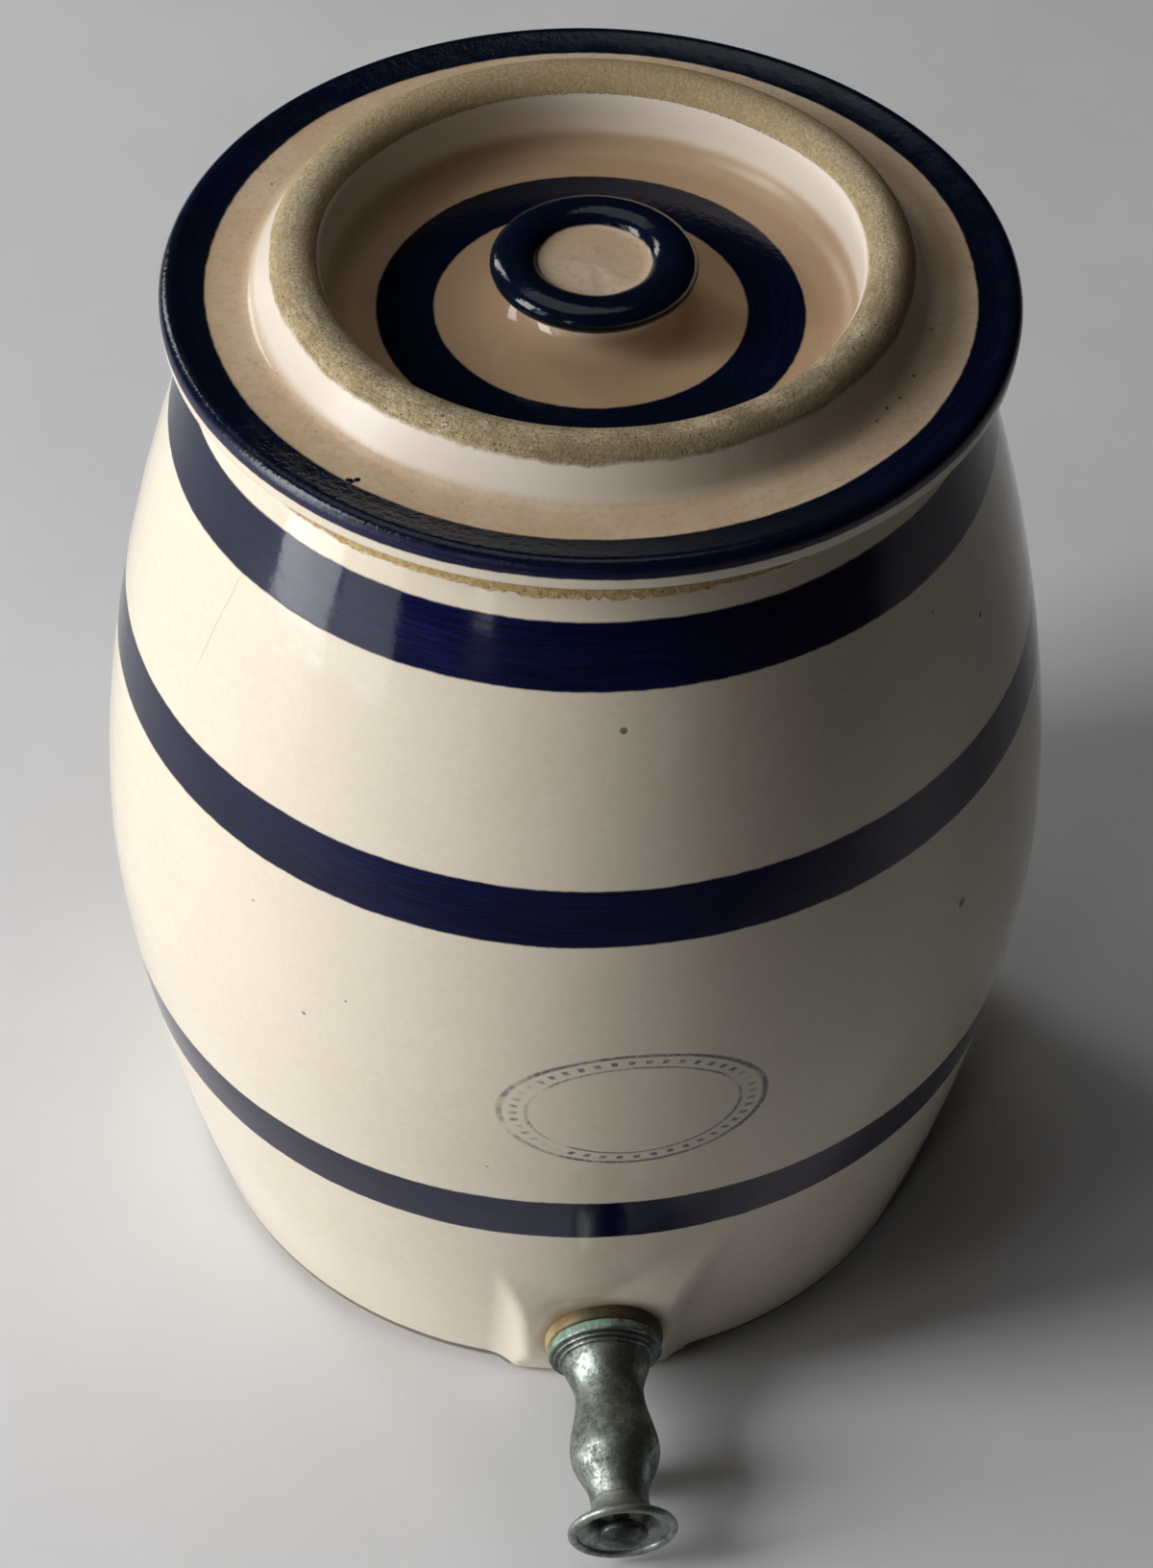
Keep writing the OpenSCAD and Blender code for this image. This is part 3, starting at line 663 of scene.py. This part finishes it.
def gasket_material_shaded():
    """Old rubber round the tap: pale on the left, amber, then dark olive on top and right. Partly grime,
    partly painted light and shade, lighter on the side the light comes from.
    """
    s = Shader("gasket_rubber")
    x = s.add(s.xyz(s.at)[0], s.wobble(180, 0.002))
    # Painted light and shade with grime: pale on the left, darkening towards the right
    colour = s.mix(s.ramp(x, -0.0160, -0.0115), (0.42, 0.33, 0.17), (0.19, 0.12, 0.035))
    colour = s.mix(s.ramp(x, -0.0115, -0.0030), colour, (0.036, 0.027, 0.010))
    colour = s.mix(s.mul(s.ramp(s.noise(900, 3, 0.6), 0.4, 0.7), 0.3), colour, (0.09, 0.06, 0.022))
    s.set(
        Base_Color=colour,
        Roughness=s.ramp(s.noise(300, 3), 0.3, 0.7, 0.45, 0.65),
        Normal=s.bump(s.noise(1200, 3, 0.6), 0.00006),
    )
    return s.material


def rubber_material(name, light, dark, rough):
    s = Shader(name)
    patch = s.ramp(s.noise(240, 4, 0.65), 0.35, 0.7)
    s.set(
        Base_Color=s.mix(patch, light, dark),
        Roughness=s.ramp(patch, 0.0, 1.0, rough - 0.1, rough + 0.15),
        Normal=s.bump(s.noise(1600, 3, 0.6), 0.00008),
    )
    return s.material


# Crock: turned wall with a finer grid round the tap's pad
def wall_angles():
    near = [-24 + 0.4 * i for i in range(121)]
    far = [24 + 156 * (i / 100) ** 1.06 for i in range(1, 100)]
    degrees = [-d for d in reversed(far)] + near + far + [180]
    return [math.radians(d - 90) for d in degrees]


def wall_outline():
    low = [FOOT + (62 - FOOT) * i / 84 for i in range(85)]
    high = [62 + (RIM_Z - RIM_ROUND - 62) * i / 72 for i in range(1, 73)]
    top = RIM_Z - RIM_ROUND
    foot = bezier((BASE - 3.0, 0), (BASE - 1.0, 0.1), (outer(FOOT), FOOT), 6)
    inside = [20 + (top - 20) * i / 60 for i in range(61)]
    return (
        [(0, 0)]
        + [(BASE * k / 12, 0) for k in range(1, 11)]
        + foot[:-1]
        + [(outer(z), z) for z in low + high]
        + arc(outer(top) - RIM_ROUND, top, RIM_ROUND, RIM_ROUND, 8, 90, 8)
        + arc(inner(top) + RIM_ROUND, top, RIM_ROUND, RIM_ROUND, 90, 180, 8)
        + [(inner(z), z) for z in reversed(inside)][1:]
        + arc(inner(20) - FLOOR_FILLET, 20, FLOOR_FILLET, FLOOR_FILLET, 0, -90, 12)[1:]
        + [((inner(20) - FLOOR_FILLET) * k / 8, FLOOR) for k in range(7, -1, -1)]
    )


def wall_move(p, angle):
    x, y, z = p
    r = math.hypot(x, y)
    phi = angle + math.pi / 2
    if z < 85 and r > 95.5 and math.cos(phi) > 0.8 and r >= outer(max(z, 0)) - 2.2:
        pad = boss(phi, max(z, 0.0))
        if z > FOOT:
            wall = r
            r = smax(wall, pad, 1.2 + 2.4 * ease(min(abs(r * math.sin(phi)) / 20, 1)))
            # The gasket's seat stays on the pad's own plane
            away = math.hypot(r * math.sin(phi), z - TAP_Z)
            level = 1 - ease(min(max((away - SEAT) / 7, 0), 1))
            r -= level * max(0, r - max(pad, wall))
        else:
            r += max(0, min(pad - r, 2.6))
    wave = noise.noise(Vector((math.cos(angle) * 1.3, math.sin(angle) * 1.3, z / 90)))
    ring = math.sin(z * 0.55 + 2 * math.sin(z * 0.07)) * 0.02
    r += (0.22 * wave + ring) * (0 if z < 60 else min(1, (z - 60) / 30))
    return (r * math.cos(angle), r * math.sin(angle), z)


crock = turned("crock_wall", wall_outline(), wall_angles(), move=wall_move)
hole = turned("hole", [(0, -34), (HOLE, -34), (HOLE, 8), (0, 8)], 64)
hole.matrix_world = TAP
cut(crock, hole)
seat = turned("seat", [(0, -27.8), (SEAT, -27.8), (SEAT, -11.8), (0, -11.8)], 64)
seat.matrix_world = TAP
cut(crock, seat)
put(crock, body_material(), "crock", "stoneware", "crock_body")


# Lid: collar, rolled edge, raised ring, sunken middle and knob
def lid_outline():
    knob_fillet = arc(16 + 14, 275.4 + 6.2, 14, 6.2, -90, -180, 16)
    outline = [(0, 268), (20, 268), (40, 268)]
    outline += rounded(
        [
            (50, 268, 0),
            (62.3, 268, 1),
            (63.8, 266, 1),
            (76.7, 266, 1.2),
            (78.2, 267.6, 1.2),
            (78.2, 274, 0.8),
            (88, 274, 0.5),
            (97.8, 276.9, 0.9),
            (99.1, 278.0, 1.0),
            (99.2, 282.2, 0),
        ]
    )
    outline += arc(96.6, 282.2, 2.6, 2.6, 0, 105, 14)[1:]
    outline += bezier((95.93, 284.71), (89.93, LID_FLAT), (86.6, LID_FLAT), 14)[1:]
    outline += rounded([(86.6, LID_FLAT, 0), (78.2, LID_FLAT, 3.0), (73.83, 291.85, 0)], 8)[1:]
    outline += arc(68.3, 289.65, 6.1, 5.2, 25, 174, 26)[1:]
    outline += [(62.15, 288.4), (62.2, 284.5)]
    outline += arc(55.8, 281.8, 6.4, 6.4, 0, -90, 12)
    outline += [(50, 275.4), (42, 275.4), (36, 275.4)]
    outline += knob_fillet
    outline += arc(18.55, 288.2, 5.45, 3.4, -78, 163, 28)
    outline += [(12.6, 288.9), (11, 288.75), (6, 288.65), (0, 288.7)]
    return ridged(outline, 3.2)


def lid_move(p, angle):
    x, y, z = p
    r = math.hypot(x, y)
    if z > 275 and r < 52:
        t = 1 - ease(min(max((r - 27) / 25, 0), 1))
        x, y = x + KNOB_X * t, y + KNOB_Y * t
    wave = noise.noise(Vector((math.cos(angle) * 1.6, math.sin(angle) * 1.6, r / 40)))
    if z > 279.5:
        z += 0.16 * wave
    if r > 90 and z > 276:
        k = 1 + 0.0016 * wave
        x, y = x * k, y * k
    return (x + LID_X, y, z)


lid = turned("lid_shell", lid_outline(), 288, move=lid_move)
put(lid, lid_material(), "lid", "stoneware", "lid")

# Metals: dark and light tone, green, and roughness
nickel = metal_material(
    "tap_nickel", (0.075, 0.088, 0.076), (0.42, 0.465, 0.42), (0.155, 0.225, 0.18), 0.42, verdigris=True
)
bell_nickel = metal_material(
    "bell_nickel", (0.20, 0.215, 0.20), (0.42, 0.45, 0.42), (0.23, 0.275, 0.24), 0.44, 0.35
)
# Painted shade: the button's nickel is much darker than the tap's, as it sits in the shade of the cup
button_nickel_shaded = metal_material(
    "button_nickel", (0.030, 0.034, 0.032), (0.13, 0.14, 0.135), (0.06, 0.08, 0.07), 0.36, 0.4
)
brass = metal_material("valve_brass", (0.26, 0.18, 0.06), (0.66, 0.50, 0.22), (0.24, 0.20, 0.08), 0.34)
steel = metal_material("spring_wire", (0.32, 0.32, 0.33), (0.62, 0.62, 0.63), (0.40, 0.38, 0.35), 0.30)
# Rubbers and packing: light and dark tone, and roughness
amber = rubber_material("gasket_rubber", (0.44, 0.30, 0.12), (0.085, 0.058, 0.02), 0.5)
black = rubber_material("valve_rubber", (0.035, 0.033, 0.03), (0.014, 0.013, 0.012), 0.6)
fibre = rubber_material("packing_fibre", (0.34, 0.28, 0.19), (0.20, 0.16, 0.10), 0.8)

# Tap: gasket, body with its shank and waterway, bell cup, button and spout
gasket_line = rounded(
    [(HOLE, -GASKET, 0), (15.0, -GASKET, 0.7), (15.3, -1.8, 1.2), (15.0, 0, 0.7), (HOLE, 0, 0)]
)
gasket = turned("gasket_ring", gasket_line, 96, ring=True)
put(gasket, gasket_material_shaded(), "crock", "amber_rubber", "outer_gasket", matrix=TAP)


def tap_outline():
    thread = []
    z = -30.3
    while z < -12.6:
        thread += [(7.45, z), (7.98, z + 0.5), (7.98, z + 0.7), (7.45, z + 1.2)]
        z += 1.25
    flange = rounded(
        [
            (8.0, 0, 0),
            (14.5, 0, 0.4),
            (14.7, 0.6, 0.3),
            (14.7, 2.6, 0.4),
            (14.3, 3.0, 0.3),
            (13.3, 3.0, 0.25),
            (13.5, 3.5, 0.3),
            (13.3, 3.9, 0.3),
            (12.2, 3.9, 0.25),
            (12.35, 4.4, 0.3),
            (12.1, 4.8, 0.3),
            (11.3, 4.8, 0),
        ],
        4,
    )
    waist = swell(4.8, 11.3, 14.6, 8.8, 18)
    bulge = swell(14.6, 8.8, 30.8, 11.45, 20)
    throat = swell(30.8, 11.45, 44.3, 7.35, 20)
    inside = [(5.2, 44.3), (5.2, 34.6), (4.2, 34.6), (4.2, 5.5), (3.6, 5.5), (3.6, 0.4), (4.0, 0), (5.8, 0)]
    return thread + [(8.0, -12.0)] + flange + waist + bulge + throat + inside + [(5.8, -30.3)]


# The spout's axis, down from the bulge, in the tap's own frame
DOWN = Matrix.Translation((0, 0, 29.9 * MM)) @ Matrix.Rotation(math.pi / 2, 4, "X")
tap = turned("tap_shell", tap_outline(), 96, ring=True)
bore = turned("bore", [(0, 6.2), (5.25, 6.2), (5.25, 20), (0, 20)], 48)
bore.matrix_world = DOWN
cut(tap, bore)
outlet = turned("outlet", [(0, 0), (3.2, 0), (3.2, 12), (0, 12)], 48)
outlet.matrix_world = DOWN
cut(tap, outlet)
put(tap, nickel, "crock", "tap_metal", "tap_body", matrix=TAP)

bell_line = (
    [(2.05, 39.6), (5.15, 39.6), (5.15, 44.3), (7.2, 44.32)]
    + bezier((7.35, 44.45), (7.35, 50.3), (13.25, 51.16), 20)
    + arc(12.65, 52.2, 1.2, 1.2, -45, 165, 14)
    + bezier((11.45, 52.2), (6.75, 51.0), (6.75, 46.3), 18)
    + [(2.05, 46.3)]
)
bell = turned("bell_shell", bell_line, 96, ring=True)
put(bell, bell_nickel, "crock", "tap_metal", "bell_cup", matrix=TAP)

# The button's dome is a cap of a sphere
CAP, RISE = 6.25, 2.8
sphere = (CAP**2 + RISE**2) / (2 * RISE)
dome = math.degrees(math.asin(CAP / sphere))
cap_line = (
    [(1.55, 53.6), (1.55, 50.4), (3.4, 50.4), (3.6, 50.6), (3.6, 52.1), (3.8, 52.3), (6.0, 52.3)]
    + [(CAP, 52.55), (CAP, 53.5)]
    + arc(0, 56.5 - sphere, sphere, sphere, 90 - dome + 1.5, 90, 16)
    + [(0, 53.6)]
)
button = turned("button_cap", cap_line, 72)
put(button, button_nickel_shaded, "button", "tap_metal", "push_button", matrix=TAP)

nozzle_tip = [
    (5.2, 11.4, 0),
    (5.2, 12.3, 0.3),
    (4.85, 12.7, 0.3),
    (4.85, 14.5, 0.3),
    (4.3, 17, 0.4),
    (3.5, 17, 0.2),
    (3.2, 16.6, 0),
]
nozzle_line = [(3.2, 6.25), (5.2, 6.25), (5.2, 11.4)] + rounded(nozzle_tip, 4)
nozzle = turned("spout_nozzle", nozzle_line, 64, ring=True)
put(nozzle, nickel, "crock", "tap_metal", "outlet_spout", matrix=TAP @ DOWN)


# Spring: round wire wound round the stem, from the retainer to the valve disc
def coil(name, radius, wire, low, high, turns, per_turn=36, sides=12):
    bm = bmesh.new()
    count = turns * per_turn
    rings = []
    for i in range(count + 1):
        t = i / count
        a = 2 * math.pi * turns * t
        centre = Vector((radius * math.cos(a), radius * math.sin(a), low + (high - low) * t))
        out = Vector((math.cos(a), math.sin(a), 0))
        ring = []
        for k in range(sides):
            b = 2 * math.pi * k / sides
            p = centre + out * (wire * math.cos(b)) + Vector((0, 0, wire * math.sin(b)))
            ring.append(bm.verts.new(p * MM))
        rings.append(ring)
    for a, b in zip(rings, rings[1:]):
        for k in range(sides):
            bm.faces.new((a[k], a[(k + 1) % sides], b[(k + 1) % sides], b[k]))
    bm.faces.new(rings[0])
    bm.faces.new(rings[-1])
    return finish_mesh(bm, name)


spring = coil("spring_coil", 4.4, 0.4, -24.85, -4.95, 8)
spring.data.transform(TAP)
put(spring, steel, "crock", "spring_steel", "return_spring")
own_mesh(spring)

# Inner pieces keep their solids, with softened edges
INNER = {
    "inner_gasket": amber,
    "inner_washer": brass,
    "lock_nut": brass,
    "valve_stem": brass,
    "valve_disc": brass,
    "valve_washer": black,
    "valve_nut": brass,
    "spring_retainer": brass,
    "stem_packing": fibre,
    "packing_washer": brass,
}
for name, material in INNER.items():
    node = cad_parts[name]
    node.data.materials.clear()
    node.data.materials.append(material)
    bevel = node.modifiers.new("soft_edges", "BEVEL")
    bevel.width = 0.25 * MM
    bevel.segments = 2
    bevel.limit_method = "ANGLE"


# Pale floor
def floor_material():
    s = Shader("pale_floor", IOR=1.2)
    pale = s.mix(s.ramp(s.noise(9, 4, 0.6), 0.3, 0.7), (0.765, 0.77, 0.79), (0.725, 0.73, 0.75))
    # Painted shade: it grows dark in front, outside the picture
    front = s.ramp(s.xyz(s.at)[1], -0.45, -0.17, 1.0, 0.0)
    s.set(
        Base_Color=s.mix(front, pale, (0.15, 0.15, 0.155)),
        Roughness=0.65,
        Normal=s.bump(s.noise(500, 3, 0.5), 0.00002),
    )
    return s.material


bm = bmesh.new()
bmesh.ops.create_grid(bm, x_segments=2, y_segments=2, size=4)
floor = finish_mesh(bm, "pale_floor")
floor.data.materials.append(floor_material())


# Light: a tall soft window on the left with a dimmer edge and a low foot, a gap in front, a window behind
def lamp(name, place, target, width, height, power, colour=(1, 1, 1)):
    data = bpy.data.lights.new(name, "AREA")
    data.shape = "RECTANGLE"
    data.size, data.size_y = width, height
    data.energy = power
    data.color = colour
    obj = bpy.data.objects.new(name, data)
    scene.collection.objects.link(obj)
    obj.location = place
    obj.rotation_euler = (Vector(target) - Vector(place)).to_track_quat("-Z", "Y").to_euler()


def from_side(azimuth, elevation, distance):
    """Place of a lamp, by its angle from the front (left is negative) and its elevation from the lid."""
    a, e = math.radians(azimuth), math.radians(elevation)
    return (distance * math.sin(a), -distance * math.cos(a), 0.28 + distance * math.tan(e))


MIDDLE, FOOT_AIM = (0, 0, 0.28), (0, 0, 0.11)
WHITE, SKY = (1.0, 0.995, 0.985), (0.95, 0.97, 1.0)
lamp("window", from_side(-81, 22, 1.72), (0, 0, 0.76), 0.62, 1.60, 37, WHITE)
lamp("window_edge", from_side(-60, 19, 1.72), (0, 0, 0.66), 0.30, 1.60, 3.2, WHITE)
for name, azimuth, width, power in (("window_foot", -75, 0.30, 1.4), ("window_foot_edge", -57, 0.26, 0.38)):
    x, y, _ = from_side(azimuth, 0, 0.95)
    lamp(name, (x, y, FOOT_AIM[2]), FOOT_AIM, width, 0.22, power, SKY)
lamp("door_gap", from_side(-29, 12, 2.20), MIDDLE, 0.20, 1.50, 2.4)
lamp("back_window", from_side(-140, 24, 2.30), MIDDLE, 0.42, 1.30, 12, (1.0, 0.99, 0.97))
lamp("ceiling", (-0.35, 0.55, 2.3), MIDDLE, 1.4, 1.4, 5.5, (1.0, 0.98, 0.95))
world = bpy.data.worlds.new("room")
scene.world = world
world.use_nodes = True
room = world.node_tree.nodes["Background"]
room.inputs[0].default_value = (0.84, 0.79, 0.70, 1)
room.inputs[1].default_value = 0.007

# Camera, as fitted to the photograph
PITCH, YAW, ROLL, TURN = map(math.radians, (45.61, 0.05, 1.48, -5.95))
turn = Matrix.Rotation(TURN, 3, "Z")
look = Vector((math.sin(YAW) * math.cos(PITCH), math.cos(YAW) * math.cos(PITCH), -math.sin(PITCH)))
right = Vector((math.cos(YAW), -math.sin(YAW), 0))
up = right.cross(look)
side = right * math.cos(ROLL) + up * math.sin(ROLL)
top = up * math.cos(ROLL) - right * math.sin(ROLL)
lens = bpy.data.cameras.new("camera")
lens.sensor_width = 36
lens.lens = 91.12
camera = bpy.data.objects.new("camera", lens)
scene.collection.objects.link(camera)
pose = Matrix([turn @ side, turn @ top, turn @ -look]).transposed().to_4x4()
pose.translation = turn @ Vector((0, -0.7214, 0.8545))
camera.matrix_world = pose
scene.camera = camera
scene.view_settings.view_transform = "Standard"
